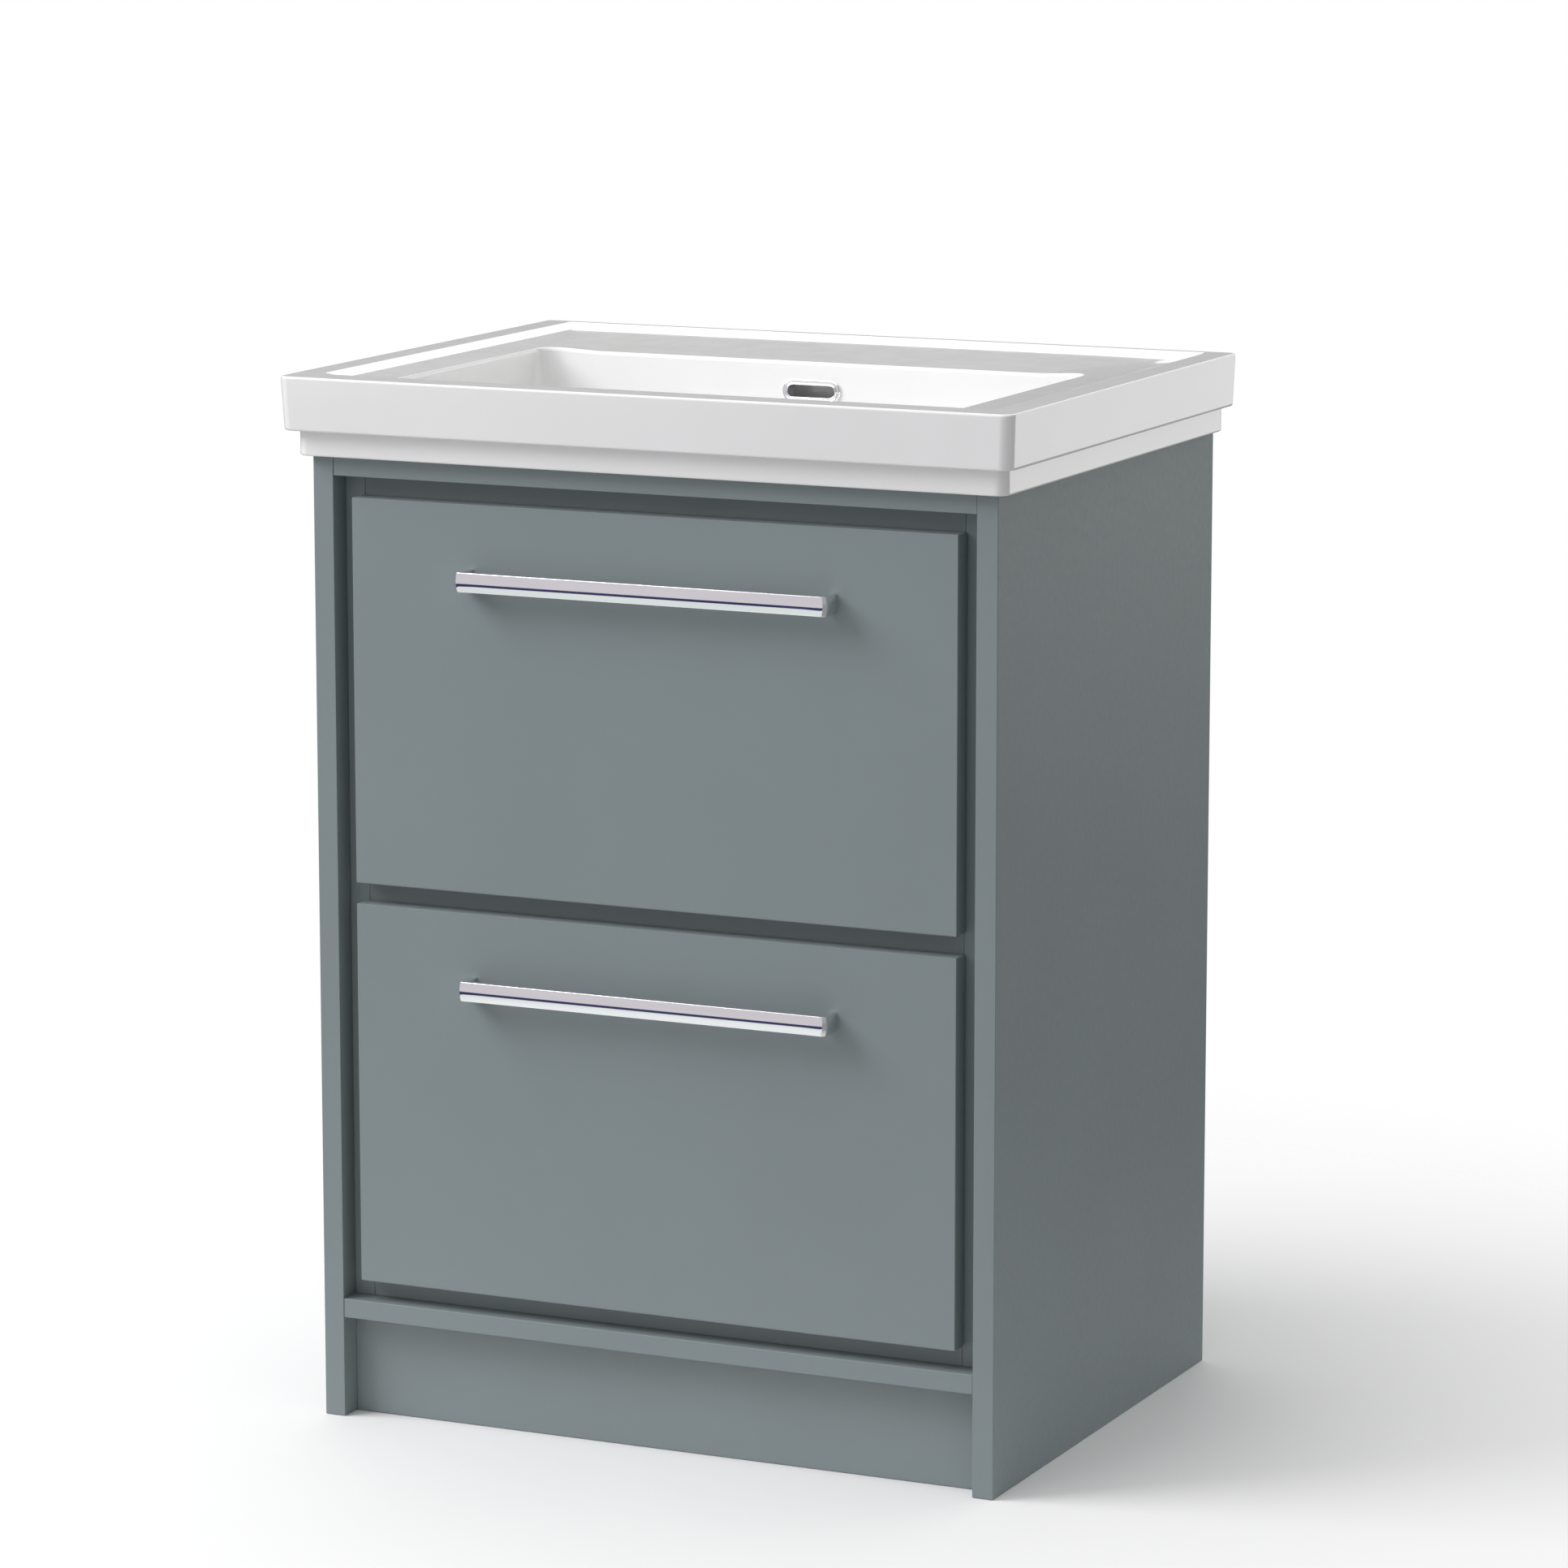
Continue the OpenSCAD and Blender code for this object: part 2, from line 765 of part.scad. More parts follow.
// Moulded U wall round the trap, with a flange on the drawer bottom
module upper_trap_recess() {
    z_flange = z_box[UPPER] + bottom_lift + bottom_t;
    color(moulding)
        difference() {
            union() {
                recess_block(0, z_box[UPPER], z_box[UPPER] + upper_box_h);
                recess_block(recess_flange, z_flange, z_flange + recess_flange_t);
            }
            recess_block(-recess_t, z_box[UPPER] - over, z_box[UPPER] + upper_box_h + over);
            box([-x_box, y_box_end, z_box[UPPER] - over],
                [x_box, y_box_end + 2 * over, z_box[UPPER] + upper_box_h + over]);
            for (s = SIDES)
                on_side(s)
                    box([recess_x, y_box_end - side_t - panel_gap, z_flange - over],
                        [x_box, y_box_end + over, z_flange + recess_flange_t + over]);
        }
}

// Bow handle: a bar with a cushioned face and two legs with round bends
module handle(n) {
    y_out = y_front - handle_out;
    x_end = (handle_span + handle_leg) / 2;
    bend_r = 5.5;
    inner_r = 3;
    crown = 1.2;
    face_r = (pow(handle_h / 2, 2) + pow(crown, 2)) / (2 * crown);
    color(chrome)
        difference() {
            intersection() {
                translate([0, 0, z_handle[n] - handle_h / 2])
                    linear_extrude(handle_h)
                        difference() {
                            bow_outline(x_end, y_out, y_front, bend_r);
                            bow_outline(x_end - handle_leg, y_out + handle_t, y_front + over, inner_r);
                        }
                translate([0, y_out + face_r, z_handle[n]])
                    x_pin(2 * face_r, 2 * x_end + 2 * over, 0);
            }
            handle_screw_set(n, hole_gap);
        }
}

// Half of a rounded oblong, from its round corners at y0 back to y1
module bow_outline(x, y0, y1, r) {
    for (s = SIDES)
        translate([s * (x - r), y0 + r])
            circle(r);
    translate([-x + r, y0])
        square([2 * (x - r), r]);
    translate([-x, y0 + r])
        square([2 * x, y1 - y0 - r]);
}

module handle_screws(n)
    color(zinc)
        handle_screw_set(n, 0);

module stop_pads(n)
    color(pad_clear)
        for (s = SIDES)
            translate([s * x_box_in, y_box, z_pad[n]])
                rotate([-90, 0, 0])
                    cylinder(d = pad_d, h = pad_t);

end_panel(LEFT);  // end_panel_left
end_panel(RIGHT);  // end_panel_right
carcass_side(LEFT);  // carcass_side_left
carcass_side(RIGHT);  // carcass_side_right
carcass_base();
plinth_board(y_carcass);  // plinth_front
plinth_board(y_rear - board_t);  // plinth_back
trim_rail(cabinet_h - trim_h);  // trim_rail_top
trim_rail(plinth_h);  // trim_rail_bottom
cross_rail(y_carcass, z_top_rail, top_rail_h);  // cross_rail_top
cross_rail(y_carcass, z_mid_rail, mid_rail_h);  // cross_rail_middle
wall_rail();
cross_rail(y_rear, z_base, rear_rail_h);  // rear_rail_bottom
back_panel();
color(birch) dowel_set(0);  // carcass_dowels
color(zinc) end_screw_set(0);  // end_panel_screws
color(zinc) trim_screw_set(0);  // trim_screws
basin();
overflow_ring();
runner_outer(LOWER, LEFT);  // runner_outer_lower_left
runner_outer(LOWER, RIGHT);  // runner_outer_lower_right
runner_outer(UPPER, LEFT);  // runner_outer_upper_left
runner_outer(UPPER, RIGHT);  // runner_outer_upper_right
runner_middle(LOWER, LEFT);  // runner_middle_lower_left
runner_middle(LOWER, RIGHT);  // runner_middle_lower_right
runner_middle(UPPER, LEFT);  // runner_middle_upper_left
runner_middle(UPPER, RIGHT);  // runner_middle_upper_right
runner_inner(LOWER, LEFT);  // runner_inner_lower_left
runner_inner(LOWER, RIGHT);  // runner_inner_lower_right
runner_inner(UPPER, LEFT);  // runner_inner_upper_left
runner_inner(UPPER, RIGHT);  // runner_inner_upper_right
ball_cages(LOWER, outer_cage_u, outer_row);  // outer_ball_cages_lower
ball_cages(UPPER, outer_cage_u, outer_row);  // outer_ball_cages_upper
ball_cages(LOWER, inner_cage_u, inner_row);  // inner_ball_cages_lower
ball_cages(UPPER, inner_cage_u, inner_row);  // inner_ball_cages_upper
color(zinc) carcass_runner_screw_set(0);  // runner_screws_carcass
drawer_front(LOWER);  // lower_drawer_front
inner_front(LOWER);  // lower_inner_front
drawer_side(LOWER, LEFT);  // lower_side_left
drawer_side(LOWER, RIGHT);  // lower_side_right
lower_back();
lower_bottom();
handle(LOWER);  // lower_handle
handle_screws(LOWER);  // lower_handle_screws
color(birch) box_dowel_set(LOWER, 0);  // lower_box_dowels
color(zinc) box_screw_set(LOWER, 0);  // lower_box_screws
stop_pads(LOWER);  // lower_stop_pads
drawer_front(UPPER);  // upper_drawer_front
inner_front(UPPER);  // upper_inner_front
drawer_side(UPPER, LEFT);  // upper_side_left
drawer_side(UPPER, RIGHT);  // upper_side_right
upper_backs();
upper_bottom();
upper_trap_recess();
handle(UPPER);  // upper_handle
handle_screws(UPPER);  // upper_handle_screws
color(birch) box_dowel_set(UPPER, 0);  // upper_box_dowels
color(zinc) box_screw_set(UPPER, 0);  // upper_box_screws
stop_pads(UPPER);  // upper_stop_pads
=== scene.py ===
import bmesh
import bpy
import json
import math
from mathutils import Matrix, Vector


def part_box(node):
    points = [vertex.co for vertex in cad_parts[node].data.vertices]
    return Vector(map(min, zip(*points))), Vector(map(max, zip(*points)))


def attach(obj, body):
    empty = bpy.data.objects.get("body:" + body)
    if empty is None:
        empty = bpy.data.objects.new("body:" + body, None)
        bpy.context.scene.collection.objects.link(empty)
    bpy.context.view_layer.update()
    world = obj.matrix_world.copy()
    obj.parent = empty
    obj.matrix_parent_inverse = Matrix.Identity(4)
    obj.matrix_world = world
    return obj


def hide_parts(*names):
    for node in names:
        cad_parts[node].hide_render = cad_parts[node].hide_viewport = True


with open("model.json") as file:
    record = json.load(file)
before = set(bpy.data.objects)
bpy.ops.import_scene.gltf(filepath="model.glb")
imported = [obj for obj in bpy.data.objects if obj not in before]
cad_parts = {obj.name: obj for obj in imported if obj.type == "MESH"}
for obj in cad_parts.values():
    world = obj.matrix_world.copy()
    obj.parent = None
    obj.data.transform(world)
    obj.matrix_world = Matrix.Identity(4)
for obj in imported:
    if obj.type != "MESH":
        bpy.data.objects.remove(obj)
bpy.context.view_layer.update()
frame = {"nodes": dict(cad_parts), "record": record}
MM = 0.001

body_with = {
    node: body
    for body, nodes in frame["record"]["behaviour"]["bodies"].items()
    for node in nodes
}
slot_of = {part["node"]: part["material_slot"] for part in frame["record"]["subparts"]}


# ---------- Finishes ----------

def new_finish(name, **settings):
    """A material with its shader's own values set; returns it with its shader."""
    finish = bpy.data.materials.new(name)
    finish.use_nodes = True
    shader = finish.node_tree.nodes["Principled BSDF"]
    for socket, value in settings.items():
        shader.inputs[socket.replace("_", " ")].default_value = value
    return finish, shader


def join(finish, source, target):
    """Links one socket to another."""
    finish.node_tree.links.new(source, target)


def noise_on(finish, scale, detail=3, stretch=(1, 1, 1), roughness=0.5):
    """Noise laid out on the piece's own coordinates."""
    nodes = finish.node_tree.nodes
    place = nodes.new("ShaderNodeTexCoord")
    mapping = nodes.new("ShaderNodeMapping")
    mapping.inputs["Scale"].default_value = stretch
    noise = nodes.new("ShaderNodeTexNoise")
    noise.inputs["Scale"].default_value = scale
    noise.inputs["Detail"].default_value = detail
    noise.inputs["Roughness"].default_value = roughness
    join(finish, place.outputs["Object"], mapping.inputs["Vector"])
    join(finish, mapping.outputs["Vector"], noise.inputs["Vector"])
    return noise.outputs["Fac"]


def spread(finish, source, low, high, start=0.3, end=0.7):
    """Stretches a noise value between low and high."""
    spread_node = finish.node_tree.nodes.new("ShaderNodeMapRange")
    join(finish, source, spread_node.inputs["Value"])
    limits = {"From Min": start, "From Max": end, "To Min": low, "To Max": high}
    for socket, value in limits.items():
        spread_node.inputs[socket].default_value = value
    return spread_node.outputs["Result"]


def two_tones(finish, source, first, second, start=0.35, end=0.65):
    """Runs from one colour to another along a noise value."""
    ramp = finish.node_tree.nodes.new("ShaderNodeValToRGB")
    ramp.color_ramp.elements[0].position = start
    ramp.color_ramp.elements[0].color = (*first, 1)
    ramp.color_ramp.elements[1].position = end
    ramp.color_ramp.elements[1].color = (*second, 1)
    join(finish, source, ramp.inputs["Fac"])
    return ramp.outputs["Color"]


def colour_by(finish, shader, source, first, second):
    """Colours the piece from one tone to another along a noise value."""
    join(finish, two_tones(finish, source, first, second), shader.inputs["Base Color"])


def roughness_by(finish, shader, source, low, high):
    """Makes the gloss uneven between two roughness values."""
    join(finish, spread(finish, source, low, high), shader.inputs["Roughness"])


def relief(finish, shader, source, distance, strength):
    """Raises a noise value as a fine relief on the surface."""
    bump = finish.node_tree.nodes.new("ShaderNodeBump")
    bump.inputs["Strength"].default_value = strength
    bump.inputs["Distance"].default_value = distance
    join(finish, source, bump.inputs["Height"])
    join(finish, bump.outputs["Normal"], shader.inputs["Normal"])


def shade_by(colour, amount):
    """A colour made lighter or darker."""
    return tuple(part * amount for part in colour)


def satin_paint():
    """Sprayed grey-green paint: faint clouding, a fine spray texture and a soft sheen."""
    finish, shader = new_finish("satin_paint", Specular_IOR_Level=0.35)
    tone = (0.222, 0.263, 0.269)
    cloud = noise_on(finish, 7, 3)
    colour_by(finish, shader, cloud, shade_by(tone, 0.985), shade_by(tone, 1.015))
    spray = noise_on(finish, 900, 2)
    roughness_by(finish, shader, noise_on(finish, 160, 3), 0.40, 0.50)
    relief(finish, shader, spray, 0.02 * MM, 0.5)
    return finish


def white_glaze():
    """Glossy white glaze, a little uneven where it pooled in the kiln."""
    finish, shader = new_finish("white_glaze", Specular_IOR_Level=0.5, Coat_Weight=1.0,
                                Coat_Roughness=0.03)
    cloud = noise_on(finish, 9, 2)
    colour_by(finish, shader, cloud, (0.85, 0.85, 0.845), (0.87, 0.87, 0.865))
    roughness_by(finish, shader, noise_on(finish, 45, 3), 0.13, 0.19)
    relief(finish, shader, noise_on(finish, 26, 1), 0.02 * MM, 0.4)
    return finish


def chrome_plate():
    """Polished plate with hairline marks from wiping."""
    finish, shader = new_finish("chrome_plate", Metallic=1.0)
    marks = noise_on(finish, 160, 4, stretch=(0.06, 1, 1))
    colour_by(finish, shader, marks, (0.86, 0.86, 0.88), (0.90, 0.90, 0.92))
    roughness_by(finish, shader, marks, 0.035, 0.07)
    relief(finish, shader, marks, 0.004 * MM, 0.3)
    return finish


def zinc_plate():
    """Rolled steel with bright zinc: soft streaks along the strip and small spangles."""
    finish, shader = new_finish("zinc_plate", Metallic=0.95)
    streaks = noise_on(finish, 220, 4, stretch=(1, 0.04, 1))
    colour_by(finish, shader, streaks, (0.50, 0.52, 0.54), (0.60, 0.62, 0.64))
    roughness_by(finish, shader, noise_on(finish, 120, 2), 0.26, 0.42)
    relief(finish, shader, streaks, 0.01 * MM, 0.4)
    return finish


def bearing_steel():
    """Bright steel balls and strips under a thin film of grease."""
    finish, shader = new_finish("bearing_steel", Metallic=1.0)
    film = noise_on(finish, 240, 2)
    colour_by(finish, shader, film, (0.44, 0.45, 0.46), (0.54, 0.55, 0.56))
    roughness_by(finish, shader, film, 0.12, 0.24)
    return finish


def pale_melamine():
    """Matt light grey facing with a fine pearl texture and faint linen threads."""
    finish, shader = new_finish("pale_melamine", Specular_IOR_Level=0.4)
    threads = noise_on(finish, 420, 3, stretch=(1, 0.12, 1))
    colour_by(finish, shader, threads, (0.60, 0.61, 0.60), (0.66, 0.67, 0.66))
    roughness_by(finish, shader, noise_on(finish, 300, 2), 0.46, 0.60)
    relief(finish, shader, noise_on(finish, 700, 2), 0.03 * MM, 0.5)
    return finish


def grey_moulding():
    """Moulded plastic with a fine spark grain."""
    finish, shader = new_finish("grey_moulding", Specular_IOR_Level=0.45)
    grain = noise_on(finish, 1300, 2)
    colour_by(finish, shader, grain, (0.53, 0.55, 0.56), (0.58, 0.60, 0.61))
    roughness_by(finish, shader, grain, 0.48, 0.62)
    relief(finish, shader, grain, 0.05 * MM, 0.6)
    return finish


def bare_birch():
    """Birch dowel with grain along its length."""
    finish, shader = new_finish("bare_birch", Specular_IOR_Level=0.3)
    grain = noise_on(finish, 500, 5, stretch=(0.06, 1, 1), roughness=0.65)
    colour_by(finish, shader, grain, (0.46, 0.32, 0.17), (0.66, 0.50, 0.31))
    roughness_by(finish, shader, grain, 0.62, 0.8)
    relief(finish, shader, grain, 0.08 * MM, 0.6)
    return finish


def clear_pad():
    """Soft clear plastic, slightly hazy."""
    finish, shader = new_finish("clear_pad", Transmission_Weight=0.55, IOR=1.45)
    haze = noise_on(finish, 300, 2)
    colour_by(finish, shader, haze, (0.72, 0.75, 0.76), (0.82, 0.84, 0.85))
    roughness_by(finish, shader, haze, 0.25, 0.4)
    return finish


finishes = {
    "paint": satin_paint(),
    "ceramic": white_glaze(),
    "chrome": chrome_plate(),
    "zinc": zinc_plate(),
    "bearing_steel": bearing_steel(),
    "melamine": pale_melamine(),
    "moulding": grey_moulding(),
    "birch": bare_birch(),
    "pad": clear_pad(),
}

for node, piece in frame["nodes"].items():
    piece.data.materials.clear()
    piece.data.materials.append(finishes[slot_of[node]])


# ---------- Hand tools ----------

def select_only(piece):
    """Selects one piece and makes it the active one."""
    bpy.ops.object.select_all(action="DESELECT")
    piece.select_set(True)
    bpy.context.view_layer.objects.active = piece


def edit_all(piece):
    """Opens a piece in edit mode with everything selected."""
    select_only(piece)
    bpy.ops.object.mode_set(mode="EDIT")
    bpy.ops.mesh.select_mode(type="VERT")
    bpy.ops.mesh.select_all(action="SELECT")


def leave_edit():
    """Goes back to object mode."""
    bpy.ops.object.mode_set(mode="OBJECT")


def select_edges(piece, wanted):
    """In edit mode, selects just the edges that wanted() picks."""
    bpy.ops.mesh.select_mode(type="EDGE")
    bpy.ops.mesh.select_all(action="DESELECT")
    mesh = bmesh.from_edit_mesh(piece.data)
    for edge in mesh.edges:
        edge.select_set(wanted(edge))
    bmesh.update_edit_mesh(piece.data)


def apply_modifier(piece, kind, **settings):
    """Adds one modifier with these settings and applies it."""
    select_only(piece)
    modifier = piece.modifiers.new(kind.title(), kind)
    for key, value in settings.items():
        setattr(modifier, key, value)
    bpy.ops.object.modifier_apply(modifier=modifier.name)


def smooth_faces(piece, angle=35):
    """Smooth shading with crisp corners, and large faces kept flat."""
    select_only(piece)
    bpy.ops.object.shade_smooth_by_angle(angle=math.radians(angle))
    apply_modifier(piece, "WEIGHTED_NORMAL", keep_sharp=True, weight=60)


def stand_for(piece, node):
    """Puts a finished piece in the place of its CAD node, on its body and in its finish."""
    piece.data.materials.clear()
    piece.data.materials.append(finishes[slot_of[node]])
    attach(piece, body_with[node])
    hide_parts(node)


def loft(name, rings, closed=False):
    """Extrudes ring after ring of points, then joins the last to the first or fills both ends."""
    bpy.ops.object.select_all(action="DESELECT")
    bpy.ops.mesh.primitive_circle_add(vertices=len(rings[0]), radius=1)
    piece = bpy.context.object
    piece.name = piece.data.name = name
    edit_all(piece)
    mesh = bmesh.from_edit_mesh(piece.data)
    ring = list(mesh.verts)
    for vertex, point in zip(ring, rings[0]):
        vertex.co = point
    first = last = [vertex.index for vertex in ring]
    for points in rings[1:]:
        bmesh.update_edit_mesh(piece.data)
        bpy.ops.mesh.extrude_region_move()
        mesh = bmesh.from_edit_mesh(piece.data)
        mesh.verts.ensure_lookup_table()
        fresh = mesh.verts[-len(points):]
        for vertex, point in zip(fresh, points):
            vertex.co = point
        last = [vertex.index for vertex in fresh]
    bmesh.update_edit_mesh(piece.data)
    for chosen in ([first + last] if closed else [first, last]):
        bpy.ops.mesh.select_mode(type="VERT")
        bpy.ops.mesh.select_all(action="DESELECT")
        mesh = bmesh.from_edit_mesh(piece.data)
        mesh.verts.ensure_lookup_table()
        for index in chosen:
            mesh.verts[index].select_set(True)
        mesh.select_flush(True)
        bmesh.update_edit_mesh(piece.data)
        if closed:
            bpy.ops.mesh.bridge_edge_loops()
        else:
            bpy.ops.mesh.edge_face_add()
    bpy.ops.mesh.select_all(action="SELECT")
    bpy.ops.mesh.normals_make_consistent(inside=False)
    leave_edit()
    return piece


# ---------- Boards and sheet metal ----------

SHORTEST_EASED = 1.2 * MM
SHARP = math.radians(50)


def eased_copy(node, name, ease, segments=3):
    """A merged copy of a CAD node with its long sharp edges rounded over, inside its box."""
    piece = bpy.data.objects.new(name, frame["nodes"][node].data.copy())
    piece.data.name = name
    bpy.context.scene.collection.objects.link(piece)
    edit_all(piece)
    bpy.ops.mesh.remove_doubles(threshold=0.002 * MM)
    bpy.ops.mesh.dissolve_limited(angle_limit=math.radians(0.5))
    select_edges(piece, lambda edge: edge.is_manifold and edge.calc_length() > SHORTEST_EASED
                 and edge.calc_face_angle(0) > SHARP and edge.is_convex)
    bpy.ops.mesh.bevel(offset=ease, segments=segments, affect="EDGES", clamp_overlap=False)
    leave_edit()
    low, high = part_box(node)
    for vertex in piece.data.vertices:
        vertex.co = [min(max(at, least), most) for at, least, most in zip(vertex.co, low, high)]
    smooth_faces(piece)
    stand_for(piece, node)


for node in ("end_panel_left", "end_panel_right", "carcass_side_left", "carcass_side_right",
             "carcass_base", "plinth_front", "plinth_back", "trim_rail_top", "trim_rail_bottom",
             "cross_rail_top", "cross_rail_middle", "wall_rail", "rear_rail_bottom", "back_panel"):
    eased_copy(node, "painted_" + node, 0.7 * MM)

for drawer in ("lower", "upper"):
    eased_copy(drawer + "_drawer_front", "painted_" + drawer + "_drawer_front", 1.0 * MM)

for node, slot in slot_of.items():
    if slot == "melamine":
        eased_copy(node, "faced_" + node, 0.5 * MM, 2)

eased_copy("upper_trap_recess", "moulded_upper_trap_recess", 0.8 * MM)


# ---------- Basin ----------

basin_low, basin_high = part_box("basin")
end_low, end_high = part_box("end_panel_right")
x_out, y_face, z_under = end_high.x, end_low.y, end_high.z
x_rim, y_rim, z_rim, y_wall = basin_high.x, basin_low.y, basin_high.z, basin_high.y

# Steps round a ring's corner, along its side, and in the part of a back corner that turns
CORNER = 12
SIDE = 8
ARC_SHARE = 9


def frame_ring(x, y_front, y_back, r_front, r_back, z, lift=0, reach=0):
    """A rectangle with rounded corners, always as the same number of points; all in metres.

    Sides and front lie higher than the back by lift, and the back edge climbs to them over
    reach, measured along it from each corner.
    """
    points = []
    corners = (
        (x - r_front, y_front + r_front, r_front, -90, 0),
        (x - r_back, y_back - r_back, r_back, 0, reach),
        (-x + r_back, y_back - r_back, r_back, 90, -reach),
        (-x + r_front, y_front + r_front, r_front, 180, 0),
    )
    groups = []
    for cx, cy, r, start, along in corners:
        turns = CORNER if along == 0 else ARC_SHARE
        arc = [
            (cx + r * math.cos(math.radians(start + 90 * k / turns)),
             cy + r * math.sin(math.radians(start + 90 * k / turns)))
            for k in range(turns + 1)
        ]
        straight = max(0, abs(along) - r) / (CORNER - ARC_SHARE)
        if along > 0:
            arc += [(cx - straight * k, y_back) for k in range(1, CORNER - ARC_SHARE + 1)]
        if along < 0:
            arc = [(cx + straight * k, y_back) for k in range(CORNER - ARC_SHARE, 0, -1)] + arc
        groups.append(arc)
    for i, arc in enumerate(groups):
        after = groups[(i + 1) % 4][0]
        side = [
            (arc[-1][0] + (after[0] - arc[-1][0]) * k / SIDE,
             arc[-1][1] + (after[1] - arc[-1][1]) * k / SIDE)
            for k in range(1, SIDE)
        ]
        points += arc + side
    x_foot = x - max(reach, MM)
    return [
        (px, py, z + lift * (1 if py < 0 else min(1, max(0, (abs(px) - x_foot) / (x - x_foot)))))
        for px, py in points
    ]


def round_ring(y, r, z):
    """A circle on the basin's middle line with as many points as frame_ring gives."""
    count = 4 * (CORNER + SIDE)
    return [
        (r * math.cos(2 * math.pi * (k - CORNER / 2) / count - math.pi / 4),
         y + r * math.sin(2 * math.pi * (k - CORNER / 2) / count - math.pi / 4), z)
        for k in range(count)
    ]


def eased_profile(stations, steps=5):
    """Rounds a closed chain of ring sizes at each station by its easing length (the last number).

    Returns the rings of each station in a list of its own.
    """
    out = []
    count = len(stations)
    for i, (*here, ease) in enumerate(stations):
        out.append([])
        if ease == 0:
            continue
        before = stations[(i - 1) % count][:-1]
        after = stations[(i + 1) % count][:-1]

        def length(a, b):
            """The longest way from one ring to the next, at the side, the front or the back."""
            return max(math.dist((a[at], a[5]), (b[at], b[5])) for at in (0, 1, 2))

        share_in = min(0.5, ease / length(here, before))
        share_out = min(0.5, ease / length(here, after))
        enter = [h + (b - h) * share_in for h, b in zip(here, before)]
        leave = [h + (a - h) * share_out for h, a in zip(here, after)]
        for k in range(steps + 1):
            t = k / steps
            ring = tuple((1 - t) ** 2 * e + 2 * t * (1 - t) * h + t * t * l
                         for e, h, l in zip(enter, here, leave))
            made = out[-1] or (out[-2] if i else [])
            if not made or math.dist(ring, made[-1]) > 0.001 * MM:
                out[-1].append(ring)
    return out


# Sizes of the basin in millimetres
BAND_H, BAND_OVER, BAND_SHORT = 21, 10, 0.6
RIM_TAPER, RIM_SIDE, RIM_FRONT, RIM_BACK = 2, 24, 30, 7
STEP_W, STEP_H, DECK_FALL = 12, 4, 4
DECK_LIFT, LIFT_REACH = 2.3, 49
CORNER_R, EDGE_R_FRONT, EDGE_R_BACK = 10, 26, 20
BOWL_W, BOWL_DEPTH, BOWL_FRONT, BOWL_BACK = 496, 109, 24, 145
FRONT_LEAN, BACK_LEAN, LEAN_SHARE = 31.45, 7, 0.55
WALL, SKIRT, SKIRT_R = 9, 22, 6
WASTE_BACK, WASTE_DISH_R = 15, 40
INNER_EASES, OUTER_EASES = (25, 12, 9, 12), (25, 12, 9, 9)

z_band = z_under + BAND_H * MM
x_band = x_out + BAND_OVER * MM
y_band = y_face - BAND_OVER * MM
y_back = y_wall - BAND_SHORT * MM
z_edge = z_rim - (STEP_H + DECK_FALL) * MM
x_bowl = BOWL_W / 2 * MM
y_bowl_front, y_bowl_back = y_face + BOWL_FRONT * MM, y_wall - BOWL_BACK * MM
y_waste = (y_bowl_front + y_bowl_back) / 2 + WASTE_BACK * MM
z_floor = z_edge - BOWL_DEPTH * MM
z_shelf = z_edge - WALL * MM
x_skirt = x_band - SKIRT * MM
y_skirt_front, y_skirt_back = y_band + SKIRT * MM, y_wall - SKIRT * MM


def station(x, y_front, y_back, r_front, r_back, z, ease, lift=0, reach=0):
    """One ring's sizes for eased_profile; the radii and the last three are in millimetres."""
    return (x, y_front, y_back, r_front * MM, r_back * MM, z, lift * MM, reach * MM, ease * MM)


def rim_station(inside_side, inside_front, inside_back, r_back, z, ease):
    """A ring that lies inside the basin's outer edge, all but z in millimetres."""
    return station(x_rim - inside_side * MM, y_rim + inside_front * MM, y_wall - inside_back * MM,
                   CORNER_R, r_back, z, ease)


def bowl_station(share, side, front, back, r_back, ease, wall=0):
    """A ring down the bowl, or round the outside of its wall, all but share in millimetres."""
    return station(x_bowl + (wall - side) * MM, y_bowl_front + (front - wall) * MM,
                   y_bowl_back + (wall - back) * MM, EDGE_R_FRONT + wall, r_back + wall,
                   z_edge - (share * BOWL_DEPTH + wall) * MM, ease)


# Share of the bowl's depth; side, front and back inside its edge; back corners' radius
bowl_rings = (
    (LEAN_SHARE, 8, FRONT_LEAN, BACK_LEAN, 45),
    (0.80, 13, 1.55 * FRONT_LEAN, 12, 45),
    (0.94, 27, 2.05 * FRONT_LEAN, 26, 40),
    (1.00, 60, 3 * FRONT_LEAN, 56, 35),
)
outside = [
    station(x_band, y_band, y_back, CORNER_R, CORNER_R, z_under, 1.8),
    station(x_band, y_band, y_back, CORNER_R, CORNER_R, z_band, 1.2),
    rim_station(RIM_TAPER, RIM_TAPER, 0, 4, z_band, 2.4),
    rim_station(0, 0, 0, 4, z_rim, 2.2),
    rim_station(RIM_SIDE, RIM_FRONT, RIM_BACK, 5, z_rim, 1.6),
    rim_station(RIM_SIDE + STEP_W, RIM_FRONT + STEP_W, RIM_BACK + STEP_W, 6,
                z_rim - STEP_H * MM, 4),
    station(x_bowl, y_bowl_front, y_bowl_back, EDGE_R_FRONT, EDGE_R_BACK, z_edge, 3.4,
            DECK_LIFT, LIFT_REACH),
] + [bowl_station(*ring, ease) for ring, ease in zip(bowl_rings, INNER_EASES)]
